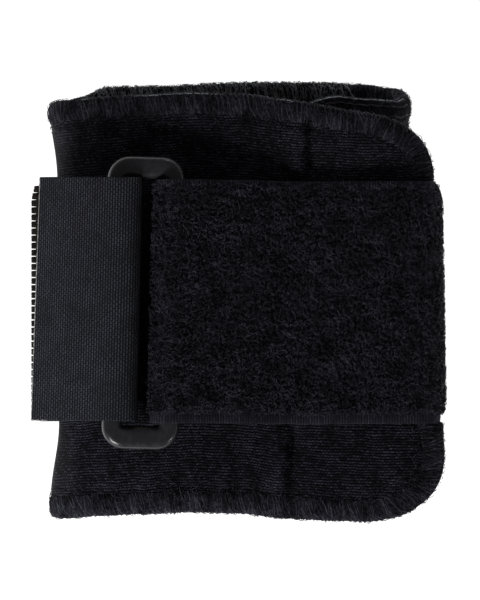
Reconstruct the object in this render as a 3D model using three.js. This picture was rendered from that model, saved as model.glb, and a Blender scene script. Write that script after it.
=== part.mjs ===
// A neoprene wrist support, closed and lying on its back: a wrapped panel with an overlocked edge,
// held by a wide loop strap, a hook strap and a slotted ring.
// Millimetres, +Z up off the table, +Y along the forearm, +X to the right of someone looking down on the ring.
import * as THREE from 'three';

// Driving dimensions
const SUPPORT_HEIGHT = 86.9; // along the forearm, over the overlocked edges
const CORNER_RADIUS = 12.5; // of the panel's outline, over the overlocked edges
const LOW_CORNER_RADIUS = 16.5; // the same at the lower corner of its outer end
const NEOPRENE = 3; // wall thickness, with both knitted faces
const EDGE_WIDTH = 5.5; // overlocked edge, across the wall's face
const EDGE_THICKNESS = 3.8;
const STRAP_WIDTH = 50;
const LOOP_THICKNESS = 2.2; // loop strap, backing and pile
const HOOK_THICKNESS = 1.6; // hook strap, backing and hooks
const SEAM_GAP = 0.35; // clearance between pieces that lie on each other

// Ring
const RING = {
  length: 60.2,
  width: 15.8,
  thickness: 3.2,
  bar: 4.1, // width of its long bars
  end: 3.9, // width of its short ends
  outerRadius: 4.8,
  slotRadius: 1.2,
  rounding: 1.1, // of its edges
  x: -19.8,
  y: -0.4,
  z: 30.3,
  leanDeg: -1.4, // turned a little, top to the right
};

// The hems stand free of the strap from here outwards, and are fully free at the second distance.
const WAIST_HALF = STRAP_WIDTH / 2 + 0.5;
const HEM_FREE = 41;

// Panel sections, from its inner end under the front, round the right fold, along the back,
// round the left fold and over the front to its outer end.
// x, z: middle of the wall under the strap. drift: slip along the forearm. flare: how far the free hems
// stand out from the strapped waist. lean: shift along +X for each millimetre along +Y.
// spread: shift along +X of the free hems, where the strap has pulled the end in.
const PANEL_SECTIONS = [
  { x: 8.5, z: 20.3, drift: -0.25, flare: 0, lean: 0, spread: 0 },
  { x: 12.0, z: 20.3, drift: -0.35, flare: 0, lean: 0, spread: 0 },
  { x: 19.0, z: 20.2, drift: -0.85, flare: 0, lean: 0, spread: 0 },
  { x: 26.5, z: 19.0, drift: -1.5, flare: 0.1, lean: 0, spread: 0 },
  { x: 31.4, z: 16.2, drift: -1.7, flare: 0.4, lean: 0, spread: 0 },
  { x: 33.3, z: 12.0, drift: -0.4, flare: 0.9, lean: 0, spread: 0 },
  { x: 31.0, z: 7.6, drift: 1.2, flare: 1.6, lean: 0, spread: 0 },
  { x: 25.0, z: 4.7, drift: 2.2, flare: 2.2, lean: 0, spread: 0 },
  { x: 16.0, z: 4.1, drift: 2.55, flare: 2.4, lean: 0, spread: 0 },
  { x: 6.0, z: 4.5, drift: 2.6, flare: 2.8, lean: 0, spread: 0 },
  { x: -2.0, z: 6.05, drift: 2.45, flare: 4.3, lean: 0, spread: 0 },
  { x: -18.0, z: 6.0, drift: 1.75, flare: 4.3, lean: 0, spread: 0 },
  { x: -27.5, z: 6.3, drift: 1.6, flare: 3.4, lean: 0, spread: 0 },
  { x: -31.8, z: 7.3, drift: -0.7, flare: 2.4, lean: -0.005, spread: 0 },
  { x: -35.2, z: 9.6, drift: -1.6, flare: 1.7, lean: -0.007, spread: 0 },
  { x: -36.3, z: 13.2, drift: -1.9, flare: 1.6, lean: -0.007, spread: 0 },
  { x: -33.8, z: 17.4, drift: -1.6, flare: 1.5, lean: -0.007, spread: 0 },
  { x: -28.0, z: 20.6, drift: -1.1, flare: 1.4, lean: -0.005, spread: 0 },
  { x: -20.0, z: 22.8, drift: -0.7, flare: 1.2, lean: 0, spread: 0 },
  { x: -10.0, z: 24.0, drift: -0.25, flare: 1.2, lean: 0, spread: 0 },
  { x: 0.0, z: 24.3, drift: -0.55, flare: 1.2, lean: 0, spread: 0 },
  { x: 8.5, z: 24.4, drift: -1.5, flare: 1.2, lean: 0, spread: 0 },
  { x: 12.8, z: 24.5, drift: -1.75, flare: 1.2, lean: -0.005, spread: 0.3 },
  { x: 18.0, z: 24.5, drift: -2.05, flare: 1.2, lean: -0.012, spread: 0.7 },
  { x: 26.0, z: 24.0, drift: -2.3, flare: 0.9, lean: -0.022, spread: 1.6 },
  { x: 31.5, z: 23.3, drift: -2.4, flare: 0.5, lean: -0.032, spread: 2.9 },
  { x: 35.0, z: 22.5, drift: -2.43, flare: 0.2, lean: -0.038, spread: 3.5 },
  { x: 37.6, z: 21.7, drift: -2.45, flare: 0.0, lean: -0.038, spread: 3.6 },
];

// Crease in the front wall, over the inner end that lies under it
const CREASE = { x: 12.3, lean: 0.04, width: 3, depth: 1 };

const slotHalf = RING.width / 2 - RING.bar;
const ringLean = Math.tan(THREE.MathUtils.degToRad(-RING.leanDeg));
const loopTurn = 3.6; // the loop strap lies loosely round its bar
const loopTurnX = RING.x + slotHalf - SEAM_GAP + (loopTurn - LOOP_THICKNESS / 2);
const hookTurn = 3.2; // and so does the hook strap
const hookTurnX = -24.3;

// A half turn of a strap round a bar, as sections from under the bar to over it.
function halfTurn(x, radius, side, drift) {
  const sections = [];
  for (let step = 0; step <= 4; step += 1) {
    const angle = (step / 4) * Math.PI;
    sections.push({
      x: x + side * radius * Math.sin(angle),
      z: RING.z - radius * Math.cos(angle),
      drift,
      lean: ringLean,
      curl: 0,
    });
  }
  return sections;
}

// Loop strap sections, from its sewn-back end under the front run, round the ring's right bar,
// over the front, round the right side and along the back.
// drift and lean: as in the panel. curl: how far the strap's two edges turn in.
const LOOP_SECTIONS = [
  { x: 2.5, z: 27.45, drift: -0.05, lean: 0.01, curl: 0 },
  { x: -4.0, z: 27.25, drift: -0.05, lean: 0.016, curl: 0 },
  { x: -9.5, z: 27.0, drift: -0.05, lean: ringLean, curl: 0 },
  ...halfTurn(loopTurnX, loopTurn, -1, -0.05),
  { x: -10.0, z: 33.2, drift: -0.05, lean: ringLean, curl: 0 },
  { x: -5.0, z: 31.5, drift: -0.08, lean: 0.018, curl: 0 },
  { x: 1.0, z: 30.1, drift: -0.15, lean: 0.01, curl: 0 },
  { x: 7.0, z: 28.4, drift: -0.3, lean: 0.004, curl: 0 },
  { x: 14.0, z: 27.6, drift: -0.4, lean: 0, curl: 0 },
  { x: 24.0, z: 27.3, drift: -0.35, lean: 0, curl: 0 },
  { x: 32.0, z: 27.0, drift: -0.27, lean: 0, curl: 0 },
  { x: 36.4, z: 26.6, drift: -0.25, lean: -0.006, curl: 0.2 },
  { x: 39.6, z: 25.2, drift: -0.25, lean: -0.012, curl: 0.4 },
  { x: 41.2, z: 21.8, drift: -0.25, lean: -0.018, curl: 0.8 },
  { x: 41.2, z: 16.0, drift: -0.25, lean: -0.018, curl: 0.9 },
  { x: 39.3, z: 9.6, drift: -0.25, lean: -0.018, curl: 0.8 },
  { x: 35.4, z: 4.6, drift: -0.25, lean: -0.01, curl: 0.4 },
  { x: 30.0, z: 1.8, drift: -0.25, lean: 0, curl: 0 },
  { x: 24.0, z: 1.1, drift: -0.25, lean: 0, curl: 0 },
  { x: 12.0, z: 1.1, drift: -0.25, lean: 0, curl: 0 },
  { x: 0.0, z: 1.1, drift: -0.25, lean: 0, curl: 0 },
  { x: -16.0, z: 1.1, drift: -0.25, lean: 0, curl: 0 },
];

// Hook strap sections, from its sewn end on the back, round the left side, under the ring's left bar,
// up through the slot and back over the bar to the free tab.
const HOOK_SECTIONS = [
  { x: -3.5, z: 3.35, drift: 0, lean: 0, curl: 0 },
  { x: -10.0, z: 3.35, drift: 0, lean: 0, curl: 0 },
  { x: -16.5, z: 3.25, drift: 0, lean: 0, curl: 0 },
  { x: -23.0, z: 2.5, drift: 0, lean: 0, curl: 0 },
  { x: -30.0, z: 2.3, drift: 0, lean: 0, curl: 0 },
  { x: -36.9, z: 4.6, drift: 0, lean: 0, curl: 0.3 },
  { x: -41.0, z: 9.4, drift: 0, lean: 0, curl: 0.8 },
  { x: -42.2, z: 15.0, drift: 0, lean: 0, curl: 0.8 },
  { x: -41.1, z: 20.2, drift: 0.05, lean: 0.004, curl: 0.6 },
  { x: -37.5, z: 24.0, drift: 0.15, lean: 0.01, curl: 0.2 },
  { x: -32.0, z: 26.3, drift: 0.25, lean: 0.018, curl: 0 },
  { x: -28.0, z: 27.0, drift: 0.35, lean: ringLean, curl: 0 },
  ...halfTurn(hookTurnX, hookTurn, 1, 0.4),
  { x: -29.0, z: 33.0, drift: 0.45, lean: ringLean, curl: 0 },
  { x: -35.0, z: 31.1, drift: 0.5, lean: 0.028, curl: 0 },
  { x: -41.7, z: 27.8, drift: 0.5, lean: 0.028, curl: 0 },
];

const COLOURS = {
  neoprene: 0x15151a,
  edge: 0x1e1f24,
  loop: 0x16161a,
  hook: 0x26282e,
  ring: 0x1b1c1f,
};

// A run is a smooth line through a table of sections. Its outer face is to the left of its direction.
function makeRun(sections) {
  const samplesPerSection = 24;
  const columns = Object.keys(sections[0]);
  const place = new THREE.CatmullRomCurve3(sections.map((row) => new THREE.Vector3(row.x, 0, row.z)));
  const spans = sections.length - 1;
  const lowest = Math.min(...sections.map((row) => row.z));
  const samples = [];
  for (let i = 0; i <= spans * samplesPerSection; i += 1) {
    const t = i / (spans * samplesPerSection);
    const row = Math.min(Math.floor(t * spans), spans - 1);
    const share = THREE.MathUtils.smoothstep(t * spans - row, 0, 1);
    const sample = {};
    columns.forEach((name) => {
      sample[name] = THREE.MathUtils.lerp(sections[row][name], sections[row + 1][name], share);
    });
    const point = place.getPoint(t);
    const ahead = place.getTangent(t);
    Object.assign(sample, { x: point.x, z: Math.max(point.z, lowest), nx: -ahead.z, nz: ahead.x, s: 0 });
    if (i > 0) {
      const last = samples[i - 1];
      sample.s = last.s + Math.hypot(sample.x - last.x, sample.z - last.z);
    }
    samples.push(sample);
  }
  const length = samples[samples.length - 1].s;

  // Everything known about the run at a length s along it, carried on straight past its ends
  function at(s) {
    const inside = THREE.MathUtils.clamp(s, 0, length);
    let high = samples.findIndex((sample) => sample.s >= inside);
    high = Math.max(high, 1);
    const [a, b] = [samples[high - 1], samples[high]];
    const share = (inside - a.s) / (b.s - a.s);
    const found = {};
    Object.keys(a).forEach((name) => {
      found[name] = THREE.MathUtils.lerp(a[name], b[name], share);
    });
    const over = s - inside;
    found.x += over * found.nz;
    found.z -= over * found.nx;
    return found;
  }

  // Length along the run at an even share of its sections, so that folds get more steps than flat stretches
  const lengthAt = (share) => samples[Math.round(share * spans * samplesPerSection)].s;
  return { length, spans, at, lengthAt };
}

// How free of the strap the wall is, from 0 under the strap to 1 at the hem
const hemShare = (y) => THREE.MathUtils.smoothstep(Math.abs(y), WAIST_HALF, HEM_FREE);
// The same for the pulled-in end, which springs out again close beside the strap
const endShare = (y) => THREE.MathUtils.smoothstep(Math.abs(y), WAIST_HALF - 1, WAIST_HALF + 3);

const panelRun = makeRun(PANEL_SECTIONS);
const frontLength = 80; // the crease is in this last stretch of the panel

// Bends the flat panel: s along it, v across it, n out from the middle of its wall.
function bendPanel(s, v, n) {
  const here = panelRun.at(s);
  const y = v + here.drift;
  const free = hemShare(y);
  let out = n + here.flare * free;
  if (s > panelRun.length - frontLength) {
    const fromCrease = (here.x - CREASE.x - CREASE.lean * y) / CREASE.width;
    out -= CREASE.depth * Math.exp(-fromCrease * fromCrease) * 4 * free * (1 - free);
  }
  const x = here.x + here.nx * out + here.lean * y + here.spread * endShare(y);
  return new THREE.Vector3(x, y, Math.max(here.z + here.nz * out, 0)); // the back's hems lie on the table
}

// Bends a flat strap in the same way.
function bendStrap(run) {
  return (s, v, n) => {
    const here = run.at(s);
    const curlFrom = STRAP_WIDTH * 0.41;
    const out = n - here.curl * THREE.MathUtils.smoothstep(Math.abs(v), curlFrom, STRAP_WIDTH / 2);
    return new THREE.Vector3(here.x + here.nx * out + here.lean * v, v + here.drift, here.z + here.nz * out);
  };
}

// Moves every vertex of a flat piece by a function and drops what the move has made wrong.
function moved(geometry, move) {
  const position = geometry.getAttribute('position');
  const vertex = new THREE.Vector3();
  for (let i = 0; i < position.count; i += 1) {
    vertex.fromBufferAttribute(position, i);
    position.setXYZ(i, ...move(vertex).toArray());
  }
  geometry.deleteAttribute('uv');
  geometry.computeVertexNormals();
  return geometry;
}

// Half height of a round-cornered outline at a distance in from its end
function halfHeight(fromEnd, half, radius) {
  const inCorner = Math.max(radius - Math.max(fromEnd, 0), 0);
  return half - radius + Math.sqrt(radius * radius - inCorner * inCorner);
}

function neopreneBody() {
  const stepsPerSection = 2;
  const columns = 18;
  const inset = EDGE_WIDTH + SEAM_GAP;
  const half = SUPPORT_HEIGHT / 2 - inset;
  const length = panelRun.length - 2 * inset;
  const flat = new THREE.BoxGeometry(1, 2, NEOPRENE, panelRun.spans * stepsPerSection, columns, 1);
  return moved(flat, (vertex) => {
    const along = (panelRun.lengthAt(vertex.x + 0.5) / panelRun.length) * length;
    const corner = vertex.x > 0 && vertex.y < 0 ? LOW_CORNER_RADIUS : CORNER_RADIUS;
    const radius = corner - inset + 2 * SEAM_GAP;
    const reach = halfHeight(Math.min(along, length - along), half, radius);
    const across = Math.sign(vertex.y) * Math.abs(vertex.y) ** 0.6; // more columns towards the hems
    return bendPanel(inset + along, across * reach, vertex.z);
  });
}

// The line along the middle of the overlocked edge, all round the flat panel
function edgeLine() {
  const inset = EDGE_WIDTH / 2;
  const [right, top] = [panelRun.length - inset, SUPPORT_HEIGHT / 2 - inset];
  const radius = CORNER_RADIUS - inset;
  const lowRadius = LOW_CORNER_RADIUS - inset;
  const quarter = Math.PI / 2;
  return new THREE.Path()
    .moveTo(inset + radius, -top)
    .lineTo(right - lowRadius, -top)
    .absarc(right - lowRadius, -top + lowRadius, lowRadius, -quarter, 0)
    .lineTo(right, top - radius)
    .absarc(right - radius, top - radius, radius, 0, quarter)
    .lineTo(inset + radius, top)
    .absarc(inset + radius, top - radius, radius, quarter, 2 * quarter)
    .lineTo(inset, -top + radius)
    .absarc(inset + radius, -top + radius, radius, 2 * quarter, 3 * quarter);
}

function overlockEdge() {
  const steps = 230;
  const sides = 8;
  const squareness = 2 / 3; // power that squares the round section up against the panel
  const line = edgeLine();
  const round = (value) => Math.sign(value) * Math.abs(value) ** squareness;
  const flat = new THREE.TorusGeometry(2, 1, sides, steps);
  return moved(flat, (vertex) => {
    const turn = Math.atan2(vertex.y, vertex.x) / (2 * Math.PI);
    const share = Math.round((turn + 1) * steps) / steps % 1;
    const section = Math.atan2(vertex.z, Math.hypot(vertex.x, vertex.y) - 2) + Math.PI / sides;
    const middle = line.getPointAt(share);
    const ahead = line.getTangentAt(share);
    const across = (EDGE_WIDTH / 2) * round(Math.cos(section));
    const out = (EDGE_THICKNESS / 2) * round(Math.sin(section));
    return bendPanel(middle.x + ahead.y * across, middle.y - ahead.x * across, out);
  });
}

function strap(sections, thickness) {
  const stepsPerSection = 2;
  const columns = 6;
  const run = makeRun(sections);
  const bend = bendStrap(run);
  const flat = new THREE.BoxGeometry(1, 2, thickness, run.spans * stepsPerSection, columns, 1);
  return moved(flat, (vertex) => {
    const across = Math.sin((vertex.y * Math.PI) / 2) * (STRAP_WIDTH / 2); // more columns at the edges
    return bend(run.lengthAt(vertex.x + 0.5), across, vertex.z);
  });
}

function roundedRectangle(path, width, length, radius) {
  const [x, y] = [width / 2, length / 2];
  const quarter = Math.PI / 2;
  return path
    .moveTo(x, -y + radius)
    .lineTo(x, y - radius)
    .absarc(x - radius, y - radius, radius, 0, quarter)
    .lineTo(-x + radius, y)
    .absarc(-x + radius, y - radius, radius, quarter, 2 * quarter)
    .lineTo(-x, -y + radius)
    .absarc(-x + radius, -y + radius, radius, 2 * quarter, 3 * quarter)
    .lineTo(x - radius, -y)
    .absarc(x - radius, -y + radius, radius, 3 * quarter, 4 * quarter);
}

function slottedRing() {
  const edge = RING.rounding;
  const body = roundedRectangle(
    new THREE.Shape(),
    RING.width - 2 * edge,
    RING.length - 2 * edge,
    RING.outerRadius - edge,
  );
  const slot = roundedRectangle(
    new THREE.Path(),
    2 * slotHalf + 2 * edge,
    RING.length - 2 * RING.end + 2 * edge,
    RING.slotRadius + edge,
  );
  body.holes.push(slot);
  const geometry = new THREE.ExtrudeGeometry(body, {
    depth: RING.thickness - 2 * edge,
    bevelThickness: edge,
    bevelSize: edge,
    bevelSegments: 3,
    curveSegments: 5,
  });
  return geometry.translate(0, 0, edge - RING.thickness / 2);
}

function piece(name, geometry, color, roughness) {
  const mesh = new THREE.Mesh(geometry, new THREE.MeshStandardMaterial({ color, roughness, metalness: 0 }));
  mesh.name = name;
  return mesh;
}

const ring = piece('ring', slottedRing(), COLOURS.ring, 0.35);
ring.position.set(RING.x, RING.y, RING.z);
ring.rotation.z = THREE.MathUtils.degToRad(RING.leanDeg);

const pieces = new THREE.Group();
pieces.add(
  piece('neoprene_body', neopreneBody(), COLOURS.neoprene, 0.85),
  piece('overlock_edge', overlockEdge(), COLOURS.edge, 0.9),
  piece('loop_strap', strap(LOOP_SECTIONS, LOOP_THICKNESS), COLOURS.loop, 0.95),
  piece('hook_strap', strap(HOOK_SECTIONS, HOOK_THICKNESS), COLOURS.hook, 0.7),
  ring,
);

// The frame's origin is on the table under the middle of the whole support.
const middle = new THREE.Box3().setFromObject(pieces).getCenter(new THREE.Vector3());
pieces.position.set(-middle.x, -middle.y, 0);

const wristSupport = new THREE.Group();
wristSupport.add(pieces);

export default wristSupport;
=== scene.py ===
"""Looks of a black neoprene wrist support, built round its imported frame.

A knit-faced neoprene panel with an overlocked edge is wound into a flattened tube. A strap with loop pile
and a hook strap close it through a moulded slotted ring. Sizes are in millimetres until a mesh is placed.
"""

import logging
import math
from dataclasses import dataclass, field
from enum import Enum
from typing import Callable, Sequence

import bpy
import numpy as np
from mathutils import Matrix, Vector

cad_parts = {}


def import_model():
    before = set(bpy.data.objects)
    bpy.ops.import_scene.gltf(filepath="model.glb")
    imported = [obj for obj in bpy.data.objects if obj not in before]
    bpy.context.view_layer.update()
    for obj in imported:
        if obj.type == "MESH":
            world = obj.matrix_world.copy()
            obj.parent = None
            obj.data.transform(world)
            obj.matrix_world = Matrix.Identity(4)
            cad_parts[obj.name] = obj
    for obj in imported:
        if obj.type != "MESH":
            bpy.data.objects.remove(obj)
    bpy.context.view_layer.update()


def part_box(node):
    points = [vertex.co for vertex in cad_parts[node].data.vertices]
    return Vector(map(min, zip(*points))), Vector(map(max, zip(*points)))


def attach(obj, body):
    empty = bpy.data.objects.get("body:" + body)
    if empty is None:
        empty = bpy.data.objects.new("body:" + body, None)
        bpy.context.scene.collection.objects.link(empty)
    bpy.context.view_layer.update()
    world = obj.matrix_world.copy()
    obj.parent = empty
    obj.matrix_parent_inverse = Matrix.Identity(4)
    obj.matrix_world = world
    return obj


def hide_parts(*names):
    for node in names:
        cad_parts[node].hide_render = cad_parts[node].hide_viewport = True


LOG = logging.getLogger("wrist_support")
MM = 0.001
Bend = Callable[[np.ndarray, np.ndarray, np.ndarray], np.ndarray]
Height = Callable[[np.ndarray, np.ndarray], np.ndarray]
Table = Sequence[Sequence[float]]
Span = tuple[float, float]
Colour = tuple[float, float, float]
Piece = bpy.types.Object
Material = bpy.types.Material
Socket = bpy.types.NodeSocket

# Sizes and places of the solids, apart from the lower corner, which is tighter here
SUPPORT_HEIGHT = 86.9
CORNER_RADIUS = 12.5
LOW_CORNER_RADIUS = 14.5
NEOPRENE = 3.0
EDGE_WIDTH = 5.5
EDGE_THICKNESS = 3.8
STRAP_WIDTH = 50.0
LOOP_THICKNESS = 2.2
HOOK_THICKNESS = 1.6
RING_X = -19.8
RING_Y = -0.4
RING_Z = 30.3
RING_LEAN_DEG = 1.4
RING_LEAN = math.tan(math.radians(RING_LEAN_DEG))
LOOP_TURN = 3.6
LOOP_TURN_X = -13.85
HOOK_TURN = 3.2
HOOK_TURN_X = -24.3

# The wound panel from its inner end to its outer end: right fold, back, left fold, front.
# Columns: x, z, drift of its middle, flare of its hems, lean and spread of its end.
PANEL_SECTIONS = (
    (8.5, 20.3, -0.25, 0, 0, 0),
    (12, 20.3, -0.35, 0, 0, 0),
    (19, 20.2, -0.85, 0, 0, 0),
    (26.5, 19, -1.5, 0.1, 0, 0),
    (31.4, 16.2, -1.7, 0.4, 0, 0),
    (33.3, 12, -0.4, 0.9, 0, 0),
    (31, 7.6, 1.2, 1.6, 0, 0),
    (25, 4.7, 2.2, 2.2, 0, 0),
    (16, 4.1, 2.55, 2.4, 0, 0),
    (6, 4.5, 2.6, 2.8, 0, 0),
    (-2, 6.05, 2.45, 4.3, 0, 0),
    (-18, 6, 1.75, 4.3, 0, 0),
    (-27.5, 6.3, 1.6, 3.4, 0, 0),
    (-31.8, 7.3, -0.7, 2.4, -0.005, 0),
    (-35.2, 9.6, -1.6, 1.7, -0.007, 0),
    (-36.3, 13.2, -1.9, 1.6, -0.007, 0),
    (-33.8, 17.4, -1.6, 1.5, -0.007, 0),
    (-28, 20.6, -1.1, 1.4, -0.005, 0),
    (-20, 22.8, -0.7, 1.2, 0, 0),
    (-10, 24, -0.25, 1.2, 0, 0),
    (0, 24.3, -0.55, 1.2, 0, 0),
    (8.5, 24.4, -1.5, 1.2, 0, 0),
    (12.8, 24.5, -1.75, 1.2, -0.005, 0.3),
    (18, 24.5, -2.05, 1.2, -0.012, 0.7),
    (26, 24, -2.3, 0.9, -0.022, 1.6),
    (31.5, 23.3, -2.4, 0.5, -0.032, 2.9),
    (35, 22.5, -2.43, 0.2, -0.038, 3.5),
    (37.6, 21.7, -2.45, 0, -0.038, 3.6),
)


def half_turn(x: float, radius: float, side: int, drift: float) -> tuple[tuple[float, ...], ...]:
    """Sections of a strap that turns back round one of the ring's bars.

    Args:
        x: Place of the turn's middle.
        radius: Radius of the strap's middle.
        side: 1 where the turn bulges to the right, -1 to the left.
        drift: Slip of the strap along the forearm.

    Returns:
        Five sections, from under the bar to over it.
    """
    angles = [math.pi * step / 4 for step in range(5)]
    return tuple(
        (x + side * radius * math.sin(turn), RING_Z - radius * math.cos(turn), drift, RING_LEAN, 0)
        for turn in angles
    )


# The loop strap: sewn-back end, round the ring's right bar, front, right side, back.
# Columns of both straps: x, z, drift, lean, curl of the edges.
LOOP_SECTIONS = (
    (2.5, 27.45, -0.05, 0.01, 0),
    (-4, 27.25, -0.05, 0.016, 0),
    (-9.5, 27, -0.05, RING_LEAN, 0),
    *half_turn(LOOP_TURN_X, LOOP_TURN, -1, -0.05),
    (-10, 33.2, -0.05, RING_LEAN, 0),
    (-5, 31.5, -0.08, 0.018, 0),
    (1, 30.1, -0.15, 0.01, 0),
    (7, 28.4, -0.3, 0.004, 0),
    (14, 27.6, -0.4, 0, 0),
    (24, 27.3, -0.35, 0, 0),
    (32, 27, -0.27, 0, 0),
    (36.4, 26.6, -0.25, -0.006, 0.2),
    (39.6, 25.2, -0.25, -0.012, 0.4),
    (41.2, 21.8, -0.25, -0.018, 0.8),
    (41.2, 16, -0.25, -0.018, 0.9),
    (39.3, 9.6, -0.25, -0.018, 0.8),
    (35.4, 4.6, -0.25, -0.01, 0.4),
    (30, 1.8, -0.25, 0, 0),
    (24, 1.1, -0.25, 0, 0),
    (12, 1.1, -0.25, 0, 0),
    (0, 1.1, -0.25, 0, 0),
    (-16, 1.1, -0.25, 0, 0),
)
# The hook strap: sewn end on the back, left side, up through the ring, back to the free tab.
HOOK_SECTIONS = (
    (-3.5, 3.35, 0, 0, 0),
    (-10, 3.35, 0, 0, 0),
    (-16.5, 3.25, 0, 0, 0),
    (-23, 2.5, 0, 0, 0),
    (-30, 2.3, 0, 0, 0),
    (-36.9, 4.6, 0, 0, 0.3),
    (-41, 9.4, 0, 0, 0.8),
    (-42.2, 15, 0, 0, 0.8),
    (-41.1, 20.2, 0.05, 0.004, 0.6),
    (-37.5, 24, 0.15, 0.01, 0.2),
    (-32, 26.3, 0.25, 0.018, 0),
    (-28, 27, 0.35, RING_LEAN, 0),
    *half_turn(HOOK_TURN_X, HOOK_TURN, 1, 0.4),
    (-29, 33, 0.45, RING_LEAN, 0),
    (-35, 31.1, 0.5, 0.03, 0),
    (-41.6, 27.8, 0.5, 0.036, 0),
)


def smoothstep(value: np.ndarray, low: float, high: float) -> np.ndarray:
    """Returns an even rise from 0 at low to 1 at high."""
    share = np.clip((value - low) / (high - low), 0, 1)
    return share * share * (3 - 2 * share)


def corner_drop(from_end: np.ndarray, radius: float) -> np.ndarray:
    """Returns how far a round corner falls below a straight edge, at distances from the end."""
    inside = np.clip(radius - from_end, 0, radius)
    return radius - np.sqrt(radius**2 - inside**2)


def unit(vectors: np.ndarray) -> np.ndarray:
    """Returns the vectors at length one."""
    return vectors / np.maximum(np.linalg.norm(vectors, axis=-1, keepdims=True), 1e-12)


class Run:
    """A smooth line through a table of sections, measured along its own length.

    Its outer face is to the left of its direction. The columns after x and z pass evenly from row to row.
    """

    SAMPLES_PER_SECTION = 24

    def __init__(self, sections: Table, columns: Sequence[str]) -> None:
        """Samples the line.

        Args:
            sections: Rows of x, z and the named columns.
            columns: Names of the columns after x and z.
        """
        rows = np.array(sections, float)
        ends = (2 * rows[:1, :2] - rows[1:2, :2], 2 * rows[-1:, :2] - rows[-2:-1, :2])
        places = np.vstack([ends[0], rows[:, :2], ends[1]])
        share = np.arange(self.SAMPLES_PER_SECTION)[:, None] / self.SAMPLES_PER_SECTION
        line = [self._span(places[i:i + 4], share) for i in range(len(rows) - 1)]
        points = np.vstack([*line, rows[-1:, :2]])
        points[:, 1] = np.maximum(points[:, 1], rows[:, 1].min())
        steps = np.linalg.norm(np.diff(points, axis=0), axis=1)
        ahead = unit(np.gradient(points, axis=0))
        self._s = np.concatenate([[0], np.cumsum(steps)])
        self.length = float(self._s[-1])
        self._columns = {"x": points[:, 0], "z": points[:, 1], "nx": -ahead[:, 1], "nz": ahead[:, 0]}
        even = smoothstep(share[:, 0], 0, 1)
        for i, name in enumerate(columns, start=2):
            spans = [low + (high - low) * even for low, high in zip(rows[:-1, i], rows[1:, i])]
            self._columns[name] = np.concatenate([*spans, rows[-1:, i]])

    @staticmethod
    def _span(corners: np.ndarray, share: np.ndarray) -> np.ndarray:
        """Draws a centripetal Catmull-Rom span.

        Args:
            corners: Four corners of the line.
            share: Shares of the way between the second and the third.

        Returns:
            Points between the second and the third corner.
        """
        before, start, end, after = corners
        first, middle, last = np.sqrt(np.linalg.norm(np.diff(corners, axis=0), axis=1))
        leave = (start - before) / first - (end - before) / (first + middle) + (end - start) / middle
        arrive = (end - start) / middle - (after - start) / (middle + last) + (after - end) / last
        leave, arrive = leave * middle, arrive * middle
        square = 3 * (end - start) - 2 * leave - arrive
        cube = 2 * (start - end) + leave + arrive
        return start + share * leave + share**2 * square + share**3 * cube

    def at(self, along: np.ndarray) -> dict[str, np.ndarray]:
        """Reads the line at lengths along it.

        Args:
            along: Lengths, which may lie a little past the ends.

        Returns:
            Place, outward direction and the named columns there.
        """
        inside = np.clip(along, 0, self.length)
        found = {name: np.interp(inside, self._s, values) for name, values in self._columns.items()}
        over = along - inside
        found["x"] = found["x"] + over * found["nz"]
        found["z"] = found["z"] - over * found["nx"]
        return found

    def along_at_x(self, x: float, after: float) -> float:
        """Finds where the line crosses a place.

        Args:
            x: The place.
            after: Length from which to look.

        Returns:
            Length of the first crossing.
        """
        later = np.flatnonzero(self._s >= after)
        values = self._columns["x"][later] - x
        crossing = later[np.flatnonzero(np.diff(np.sign(values)))[0]]
        return float(self._s[crossing])


def uneven_wave(place: np.ndarray, rate: float, drift: float) -> np.ndarray:
    """Returns a wave whose pace wanders, with its rate and that of the wandering in radians for each step."""
    return np.sin(rate * place + 2 * np.sin(drift * place))


@dataclass(frozen=True)
class Frame:
    """Where the tables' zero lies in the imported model."""

    shift: np.ndarray
    lowest: float = 0.02

    @classmethod
    def read(cls) -> "Frame":
        """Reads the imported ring.

        Returns:
            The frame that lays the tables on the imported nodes.
        """
        low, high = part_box("ring")
        x = (low.x + high.x) / 2 - RING_X * MM
        y = (low.y + high.y) / 2 - RING_Y * MM
        return cls(np.array([x, y, 0]))

    def place(self, x: np.ndarray, y: np.ndarray, z: np.ndarray) -> np.ndarray:
        """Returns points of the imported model, in metres and above the table, for places in the tables."""
        x, y, z = np.broadcast_arrays(x, y, np.maximum(z, self.lowest))
        return np.stack([x, y, z], axis=-1) * MM + self.shift


def deselect() -> None:
    """Deselects every object."""
    bpy.ops.object.select_all(action="DESELECT")


def dress(pieces: Sequence[Piece], node: str) -> None:
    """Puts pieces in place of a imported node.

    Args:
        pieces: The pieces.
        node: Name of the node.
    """
    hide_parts(node)
    for piece in pieces:
        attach(piece, "root")


def mesh_piece(name: str, points: np.ndarray, faces: list, material: Material) -> Piece:
    """Makes a joined mesh from arrays.

    Args:
        name: Piece name.
        points: Places in metres.
        faces: Corner numbers of each face.
        material: Its finish.

    Returns:
        The new object, smooth shaded and at the origin.
    """
    mesh = bpy.data.meshes.new(name)
    mesh.from_pydata(points.reshape(-1, 3).tolist(), [], faces)
    mesh.shade_smooth()
    mesh.materials.append(material)
    piece = bpy.data.objects.new(name, mesh)
    bpy.context.scene.collection.objects.link(piece)
    return piece


def named_primitive(name: str) -> tuple[Piece, np.ndarray]:
    """Names the primitive that was just added.

    Args:
        name: Piece name.

    Returns:
        The piece and its points.
    """
    piece = bpy.context.object
    piece.name = piece.data.name = name
    points = np.zeros(len(piece.data.vertices) * 3)
    piece.data.vertices.foreach_get("co", points)
    return piece, points.reshape(-1, 3)


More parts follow.
